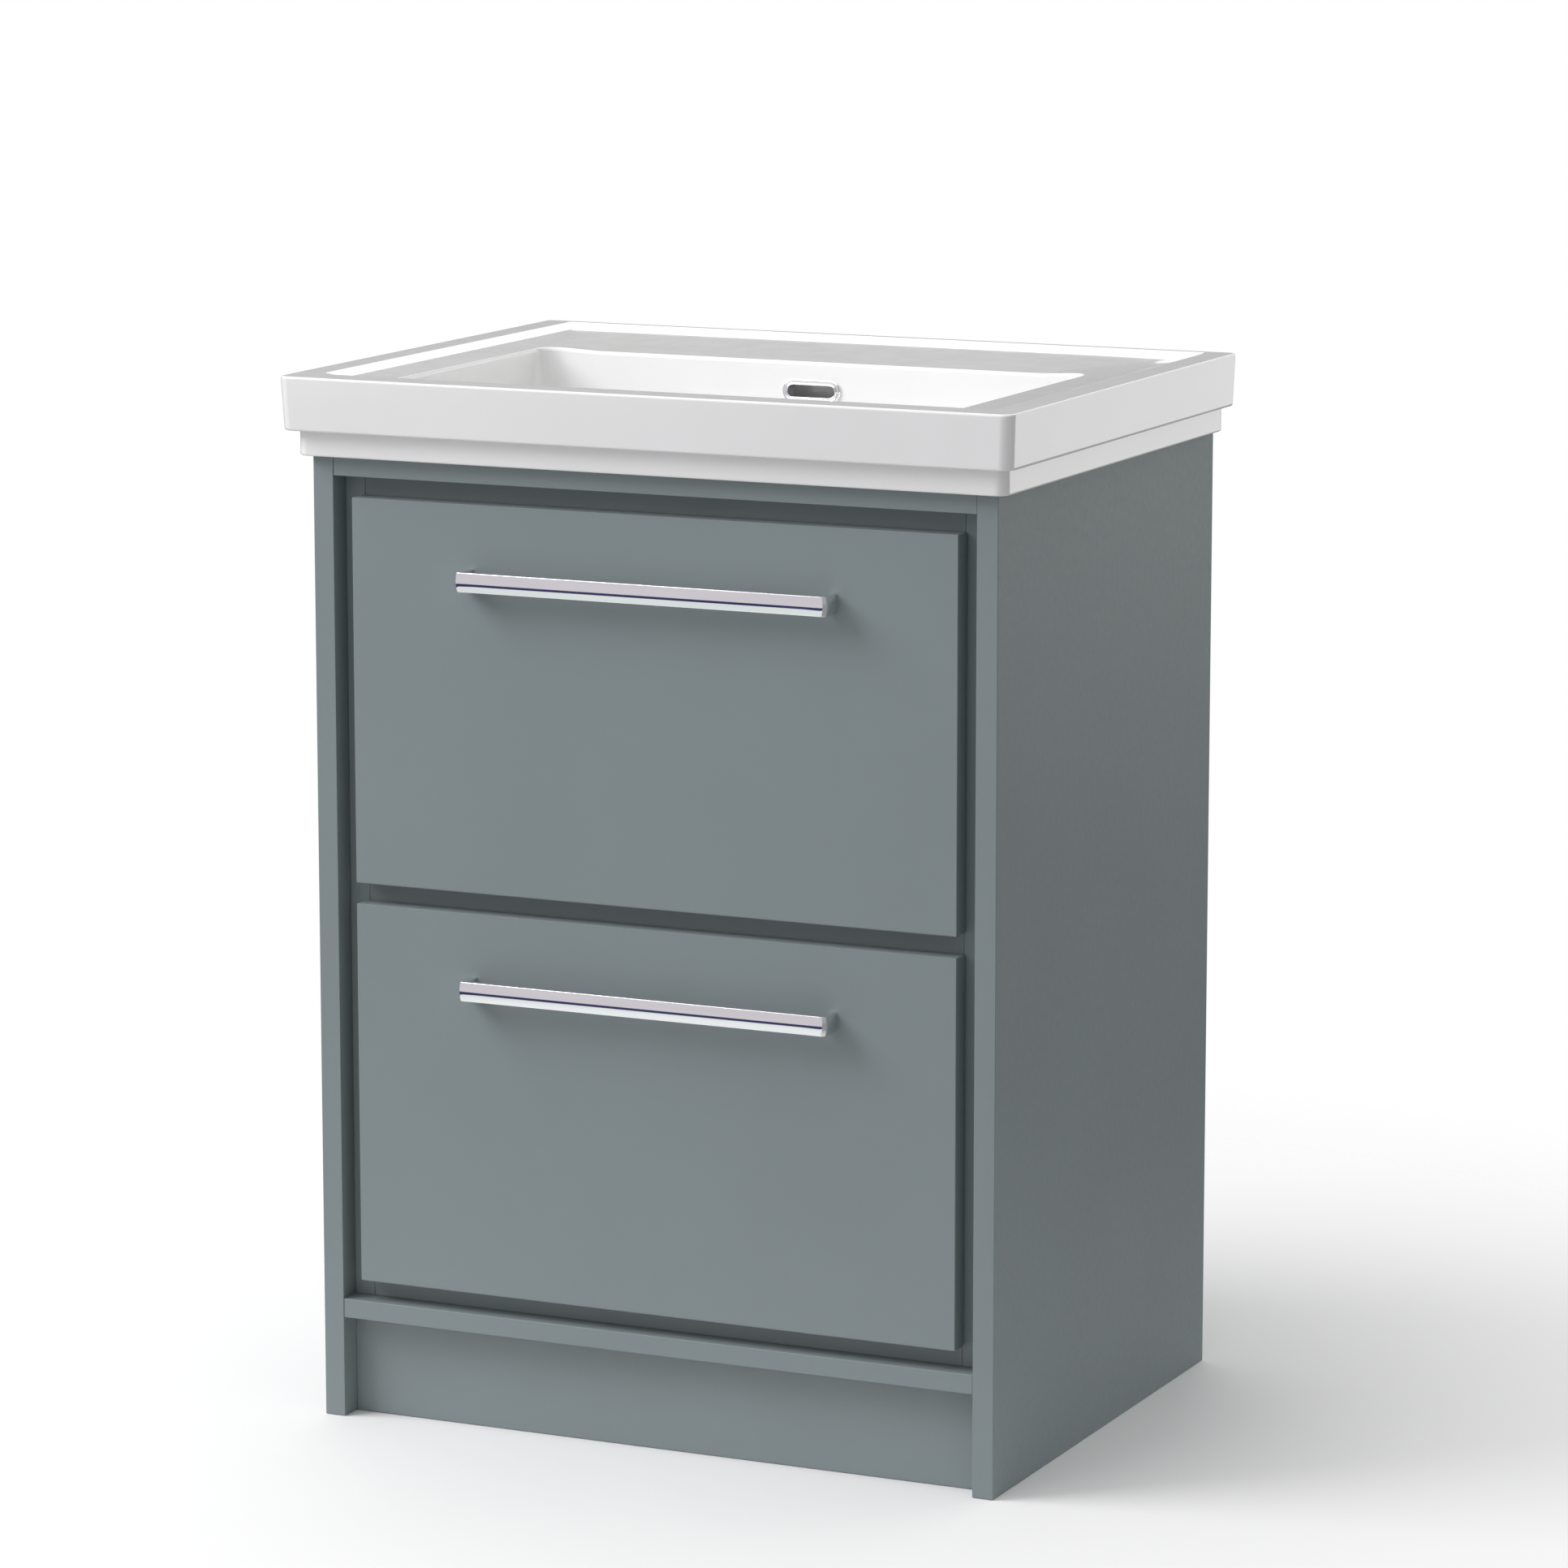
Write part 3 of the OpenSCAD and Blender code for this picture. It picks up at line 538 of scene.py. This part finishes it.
underside = [
    bowl_station(*ring, ease, WALL) for ring, ease in zip(bowl_rings, OUTER_EASES)
][::-1] + [
    station(x_bowl + WALL * MM, y_bowl_front - WALL * MM, y_bowl_back + WALL * MM,
            EDGE_R_FRONT + WALL, EDGE_R_BACK + WALL, z_shelf, 1),
    station(x_skirt, y_skirt_front, y_skirt_back, SKIRT_R, SKIRT_R, z_shelf, 1),
    station(x_skirt, y_skirt_front, y_skirt_back, SKIRT_R, SKIRT_R, z_under, 1),
]

# The waste's seat gives the floor rings beside it something to be eased towards
waste_r = WASTE_DISH_R * MM
round_the_waste = [
    station(waste_r, y_waste - waste_r, y_waste + waste_r, WASTE_DISH_R, WASTE_DISH_R, z, 0)
    for z in (z_floor, z_floor - WALL * MM)
]
profile = eased_profile(outside + round_the_waste + underside)

# Radius and height of the dished seat, the hole through it and the boss below it
waste_section = (
    (40, -0.1), (33, -0.4), (31.5, -0.9), (30.5, -1.8), (29.5, -2.6), (28, -3.0), (25, -3.4),
    (23.6, -4.0), (22.8, -5.0), (22.5, -6.5), (22.5, -27), (22.8, -27.7), (23.5, -28),
    (32.5, -28), (33.2, -27.7), (33.5, -27), (33.5, -12), (34.5, -10), (37, -9),
)
waste_rings = [round_ring(y_waste, r * MM, z_floor + z * MM) for r, z in waste_section]
basin_rings = (
    [frame_ring(*ring) for rings in profile[:len(outside)] for ring in rings]
    + waste_rings
    + [frame_ring(*ring) for rings in profile[-len(underside):] for ring in rings]
)
basin = loft("glazed_basin", basin_rings, closed=True)


def bevelled_block(name, low, high, ease):
    """A block between two corners with rounded edges, added at its size and place."""
    bpy.ops.object.select_all(action="DESELECT")
    middle = [(a + b) / 2 for a, b in zip(low, high)]
    bpy.ops.mesh.primitive_cube_add(size=1, location=middle,
                                    scale=[b - a for a, b in zip(low, high)])
    block = bpy.context.object
    block.name = block.data.name = name
    bpy.ops.object.transform_apply(location=True, rotation=True, scale=True)
    edit_all(block)
    bpy.ops.mesh.bevel(offset=ease, segments=4, affect="EDGES")
    leave_edit()
    return block


def combine(piece, tool, operation):
    """Adds or cuts away a tool shape, then throws the tool away."""
    apply_modifier(piece, "BOOLEAN", operation=operation, object=tool, solver="EXACT")
    bpy.data.objects.remove(tool)


RING_W, RING_H, RING_DROP = 53, 20, 24
CUT_INSET = 2.55
ROUND_END, STRAIGHT = 16, 6
wall_lean = math.atan(BACK_LEAN / (LEAN_SHARE * BOWL_DEPTH))
ring_drop = RING_DROP * MM
overflow_place = (
    Matrix.Translation((0, y_bowl_back - ring_drop * math.tan(wall_lean), z_edge - ring_drop))
    @ Matrix.Rotation(-math.pi / 2 - wall_lean, 4, "X")
)


def slot_ring(inset, z):
    """The ring's outline drawn in by inset, lying on the basin's back wall; both in metres."""
    r = RING_H * MM / 2 - inset
    reach = (RING_W - RING_H) * MM / 2
    points = []
    for middle, start in ((reach, -90), (-reach, 90)):
        points += [
            (middle + r * math.cos(math.radians(start + 180 * k / ROUND_END)),
             r * math.sin(math.radians(start + 180 * k / ROUND_END)))
            for k in range(ROUND_END + 1)
        ]
        edge = -1 if start == 90 else 1
        points += [(middle - 2 * middle * k / STRAIGHT, edge * r) for k in range(1, STRAIGHT)]
    return [overflow_place @ Vector((x, y, z)) for x, y in points]


# The overflow's way down behind the bowl and forward under its floor; half widths
DUCT_HALF, CHANNEL_HALF, CHANNEL_DEPTH = 34 * MM, 25 * MM, 14 * MM
FLOOR_DUCT_HALF, FLOOR_CHANNEL_HALF, FLOOR_CHANNEL_H = 21 * MM, 12 * MM, 10 * MM
wall = WALL * MM
z_duct = z_floor - wall - FLOOR_CHANNEL_H
y_channel = y_bowl_back + wall + CHANNEL_DEPTH
DUCT_START, DUCT_LEAN = 5 * MM, 12 * MM
duct_back = bevelled_block("duct_back", (-DUCT_HALF, y_bowl_back + 1 * MM, z_duct - wall),
                           (DUCT_HALF, y_channel + wall, z_shelf + 3 * MM), 3 * MM)
# Its front face leans with the bowl's wall, so that the duct starts inside the wall all the way
for vertex in duct_back.data.vertices:
    if vertex.co.y < y_bowl_back + DUCT_START:
        vertex.co.y -= DUCT_LEAN * (z_edge - vertex.co.z) / (z_edge - z_duct)
duct_floor = bevelled_block(
    "duct_floor", (-FLOOR_DUCT_HALF, y_waste + 27 * MM, z_duct - wall + 0.2 * MM),
    (FLOOR_DUCT_HALF, y_channel - 2 * MM, z_floor - 3 * MM), 2.5 * MM)
channel_back = bevelled_block("channel_back", (-CHANNEL_HALF, y_channel - CHANNEL_DEPTH, z_duct),
                              (CHANNEL_HALF, y_channel, z_edge - wall * 1.5), 2 * MM)
channel_floor = bevelled_block(
    "channel_floor", (-FLOOR_CHANNEL_HALF, y_waste, z_duct),
    (FLOOR_CHANNEL_HALF, y_channel - 1 * MM, z_duct + FLOOR_CHANNEL_H), 2 * MM)
overflow_cut = loft("overflow_cut", [slot_ring(CUT_INSET * MM, z * MM) for z in (-2, 14)])
for tool, operation in (
    (duct_back, "UNION"), (duct_floor, "UNION"), (channel_back, "DIFFERENCE"),
    (channel_floor, "DIFFERENCE"), (overflow_cut, "DIFFERENCE"),
):
    combine(basin, tool, operation)
edit_all(basin)
bpy.ops.mesh.remove_doubles(threshold=0.004 * MM)
leave_edit()
smooth_faces(basin, 40)
stand_for(basin, "basin")

# The plated ring's section as inset and height: a rolled outer bead, a shallow groove, and a
# raised lip round the slot that turns back into the wall
ring_section = (
    (0, 0), (0, 0.9), (0.25, 1.6), (0.8, 2.2), (1.5, 2.5), (2.2, 2.45), (2.8, 2.2), (3.2, 2.1),
    (3.5, 2.25), (3.8, 2.65), (4.2, 2.95), (4.6, 2.95), (5.0, 2.7), (5.2, 2.3), (5.25, 1.8),
    (5.25, -8), (2.75, -8), (2.75, -0.2), (2.6, 0),
)
overflow_ring = loft(
    "plated_overflow_ring",
    [slot_ring(inset * MM, -height * MM) for inset, height in ring_section],
    closed=True,
)
smooth_faces(overflow_ring, 40)
stand_for(overflow_ring, "overflow_ring")


# ---------- Handles ----------

# Sizes of a handle in millimetres
HALF_BAR, HALF_FACE, CROWN = 8, 7.55, 1.2
LEG, BAR_T, OUTER_R, INNER_R = 8, 6, 5.5, 3
FOOT, BEND_END = 1.2, 20
FACE_STEPS, BEND_STEPS = 20, 12


def bar_section(thickness):
    """The bar's section as (depth from the outer face, height) in millimetres."""
    heights = [HALF_FACE - 2 * HALF_FACE * k / FACE_STEPS for k in range(FACE_STEPS + 1)]
    return [(CROWN * (h / HALF_BAR) ** 2, h) for h in heights] + [
        (1.22, -7.84), (1.6, -8), (thickness / 2, -8), (thickness - 0.7, -8),
        (thickness - 0.2, -7.8), (thickness, -7.3), (thickness, 0), (thickness, 7.3),
        (thickness - 0.2, 7.8), (thickness - 0.7, 8), (thickness / 2, 8), (1.6, 8), (1.22, 7.84),
    ]


def handle_ring(outer, inner, z):
    """The section set between an outer and an inner point in plan."""
    outer, inner = Vector(outer), Vector(inner)
    thickness = (inner - outer).length / MM
    points = []
    for depth, height in bar_section(thickness):
        plan = outer.lerp(inner, depth / thickness)
        points.append((plan.x, plan.y, z + height * MM))
    return points


def bow_handle(node, name):
    """A bar that bends back into two legs, drawn from leg to leg."""
    low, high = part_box(node)
    x_end, y_out, y_front, z = high.x, low.y, high.y, (low.z + high.z) / 2
    x_inner, y_foot = x_end - LEG * MM, y_front - FOOT * MM
    half = [((x_end, y_front), (x_inner, y_front)), ((x_end, y_foot), (x_inner, y_foot))]
    outer, inner = OUTER_R * MM, INNER_R * MM
    for k in range(BEND_STEPS + 1):
        turn = -math.pi / 2 * k / BEND_STEPS
        half.append((
            (x_end - outer * (1 - math.cos(turn)), y_out + outer * (1 + math.sin(turn))),
            (x_end - (LEG + INNER_R) * MM + inner * math.cos(turn),
             y_out + (BAR_T + INNER_R) * MM + inner * math.sin(turn)),
        ))
    half.append(((x_end - BEND_END * MM, y_out), (x_end - BEND_END * MM, y_out + BAR_T * MM)))
    path = half + [((-ox, oy), (-ix, iy)) for (ox, oy), (ix, iy) in reversed(half)]
    handle = loft(name, [handle_ring(*pair, z) for pair in path])
    smooth_faces(handle, 40)
    stand_for(handle, node)


for drawer in ("lower", "upper"):
    bow_handle(drawer + "_handle", "plated_" + drawer + "_handle")


# ---------- Studio ----------

def fading_floor():
    """Pale floor that fades into the white backdrop away from the cabinet."""
    finish, shader = new_finish("pale_floor", Roughness=0.7, Specular_IOR_Level=0.2)
    colour = (0.95, 0.95, 0.95)
    colour_by(finish, shader, noise_on(finish, 3, 2), shade_by(colour, 0.985), colour)
    nodes = finish.node_tree.nodes
    place = nodes.new("ShaderNodeTexCoord")
    mapping = nodes.new("ShaderNodeMapping")
    mapping.inputs["Scale"].default_value = (0.8, 0.8, 0.8)
    fade = nodes.new("ShaderNodeTexGradient")
    fade.gradient_type = "SPHERICAL"
    clear = nodes.new("ShaderNodeBsdfTransparent")
    blend = nodes.new("ShaderNodeMixShader")
    join(finish, place.outputs["Object"], mapping.inputs["Vector"])
    join(finish, mapping.outputs["Vector"], fade.inputs["Vector"])
    join(finish, spread(finish, fade.outputs["Color"], 0, 1, 0.0, 0.72), blend.inputs["Fac"])
    join(finish, clear.outputs["BSDF"], blend.inputs[1])
    join(finish, shader.outputs["BSDF"], blend.inputs[2])
    join(finish, blend.outputs["Shader"], nodes["Material Output"].inputs["Surface"])
    return finish


bpy.ops.object.select_all(action="DESELECT")
bpy.ops.mesh.primitive_circle_add(vertices=96, radius=2.4, fill_type="NGON",
                                  location=(0, 0, -0.3 * MM))
floor = bpy.context.object
floor.name = "studio_floor"
floor.data.materials.append(fading_floor())


def softbox(name, place, target, size, power):
    """A soft lamp aimed at a point; its size in metres and its power in watts."""
    light = bpy.data.lights.new(name, "AREA")
    light.shape = "RECTANGLE"
    light.size, light.size_y = size
    light.energy = power
    lamp = bpy.data.objects.new(name, light)
    lamp.location = place
    lamp.rotation_euler = (Vector(target) - Vector(place)).to_track_quat("-Z", "Y").to_euler()
    bpy.context.scene.collection.objects.link(lamp)


MIDDLE = (0, 0, 0.45)
softbox("key_left", (-2.6, -1.62, 3.02), MIDDLE, (2.2, 2), 108)
softbox("front_high", (-0.79, -2.96, 3.02), MIDDLE, (2.2, 2), 10)
softbox("rear_right", (1.98, 3.43, 1.01), MIDDLE, (2.2, 2), 16)
softbox("rear_high", (-0.9, 3.35, 2.86), (0, 0, 0.86), (4.4, 2.2), 28)
softbox("overhead", (0, -0.3, 3.4), (0, -0.3, 0.8), (3.2, 2.6), 22)

scene = bpy.context.scene
scene.view_settings.view_transform = "Standard"
scene.view_settings.look = "None"

# Colours of the air: an even grey room, and a pale card with a navy band in front of the handles
ROOM_LOW, ROOM_HIGH = (0.3, 0.3, 0.3), (0.39, 0.39, 0.39)
CARD_LOW, CARD_HIGH = (0.77, 0.82, 0.80), (0.66, 0.63, 0.66)
NAVY = (0.042, 0.042, 0.115)
CARD_DIRECTION = (-0.42, -0.907, 0)
CARD_EDGE = (0.60, 0.70)
MIX_A, MIX_B, MIX_RESULT = 6, 7, 2


def range_of(air, source, low, high):
    """Stretches low to high into 0 to 1."""
    node = air.nodes.new("ShaderNodeMapRange")
    node.inputs["From Min"].default_value = low
    node.inputs["From Max"].default_value = high
    air.links.new(source, node.inputs["Value"])
    return node.outputs["Result"]


def bands_by_height(air, height, bands):
    """A ramp of colours over the sine of the height above the horizon."""
    ramp = air.nodes.new("ShaderNodeValToRGB")
    steps = ramp.color_ramp.elements
    steps[0].position, steps[0].color = (bands[0][0] + 1) / 2, (*bands[0][1], 1)
    steps[1].position, steps[1].color = (bands[-1][0] + 1) / 2, (*bands[-1][1], 1)
    for at, colour in bands[1:-1]:
        steps.new((at + 1) / 2).color = (*colour, 1)
    air.links.new(height, ramp.inputs["Fac"])
    return ramp.outputs["Color"]


def studio_air():
    """A world that lights and reflects as the room and the card, and looks like white paper."""
    world = bpy.data.worlds.new("studio_air")
    scene.world = world
    world.use_nodes = True
    air = world.node_tree
    for node in list(air.nodes):
        air.nodes.remove(node)
    place = air.nodes.new("ShaderNodeTexCoord")
    split = air.nodes.new("ShaderNodeSeparateXYZ")
    air.links.new(place.outputs["Generated"], split.inputs["Vector"])
    height = range_of(air, split.outputs["Z"], -1, 1)
    toward_card = air.nodes.new("ShaderNodeVectorMath")
    toward_card.operation = "DOT_PRODUCT"
    toward_card.inputs[1].default_value = CARD_DIRECTION
    air.links.new(place.outputs["Generated"], toward_card.inputs[0])
    on_card = range_of(air, toward_card.outputs["Value"], *CARD_EDGE)
    card = bands_by_height(air, height, ((-1, CARD_LOW), (-0.322, CARD_LOW), (-0.315, NAVY),
                                         (-0.194, NAVY), (-0.187, CARD_HIGH), (1, CARD_HIGH)))
    room = bands_by_height(air, height, ((-1, ROOM_LOW), (-0.03, ROOM_LOW), (0.03, ROOM_HIGH),
                                         (1, ROOM_HIGH)))
    both = air.nodes.new("ShaderNodeMix")
    both.data_type = "RGBA"
    air.links.new(on_card, both.inputs["Factor"])
    air.links.new(room, both.inputs[MIX_A])
    air.links.new(card, both.inputs[MIX_B])
    soft_light = air.nodes.new("ShaderNodeBackground")
    white_paper = air.nodes.new("ShaderNodeBackground")
    white_paper.inputs["Color"].default_value = (1, 1, 1, 1)
    seen = air.nodes.new("ShaderNodeLightPath")
    either = air.nodes.new("ShaderNodeMixShader")
    end = air.nodes.new("ShaderNodeOutputWorld")
    air.links.new(both.outputs[MIX_RESULT], soft_light.inputs["Color"])
    air.links.new(seen.outputs["Is Camera Ray"], either.inputs["Fac"])
    air.links.new(soft_light.outputs["Background"], either.inputs[1])
    air.links.new(white_paper.outputs["Background"], either.inputs[2])
    air.links.new(either.outputs["Shader"], end.inputs["Surface"])


studio_air()

lens = bpy.data.cameras.new("studio_camera")
lens.lens = 144.572
lens.sensor_width = 36
lens.clip_start, lens.clip_end = 0.05, 60
camera = bpy.data.objects.new("studio_camera", lens)
camera.location = (2.1632, -4.6418, 1.4307)
camera.rotation_euler = [math.radians(angle) for angle in (79.8838, 0.0183, 24.8052)]
scene.collection.objects.link(camera)
scene.camera = camera
